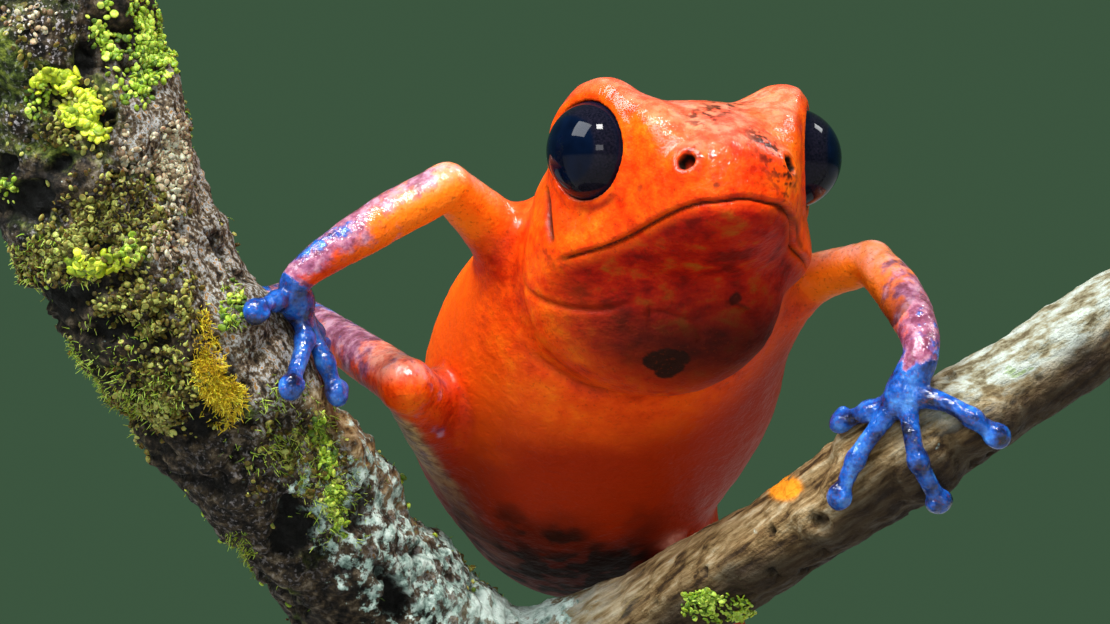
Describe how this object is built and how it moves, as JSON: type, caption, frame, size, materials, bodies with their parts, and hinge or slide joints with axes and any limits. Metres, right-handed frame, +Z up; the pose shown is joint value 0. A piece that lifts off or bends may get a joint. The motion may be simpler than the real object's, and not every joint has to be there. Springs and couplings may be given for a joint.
{
  "type": "strawberry poison dart frog model",
  "caption": "Life-size red frog with blue hands and feet, gripping both arms of a forked mossy branch on a plain display stand.",
  "frame": {"origin": "middle of the underside of the stand's round base, on the surface that the stand rests on", "axes": "+Z up, -Y the way the frog looks out, roughly, towards the viewer, +X the viewer's right, which is the frog's left"},
  "size_m": [0.0282, 0.026, 0.0338],
  "materials": {
    "skin": "moist, softly glossy skin: orange-red body, purple-mottled forearms and shanks, blue hands and feet",
    "eye": "wet gloss, almost black with a faint brown iris ring",
    "bark": "rough bark, dark with moss and lichen on the thick branch, pale and streaked on the thin one",
    "stand": "satin"
  },
  "bodies": {
    "root": {"head": "skin", "torso": "skin", "upper_arm_left": "skin", "upper_arm_right": "skin", "forearm_left": "skin", "forearm_right": "skin", "hand_left": "skin", "hand_right": "skin", "thigh_left": "skin", "thigh_right": "skin", "shank_left": "skin", "shank_right": "skin", "foot_left": "skin", "foot_right": "skin", "eye_left": "eye", "eye_right": "eye", "perch_left_branch": "bark", "perch_right_branch": "bark", "perch_stem": "bark", "stand_base": "stand", "stand_rod": "stand"}
  },
  "joints": []
}
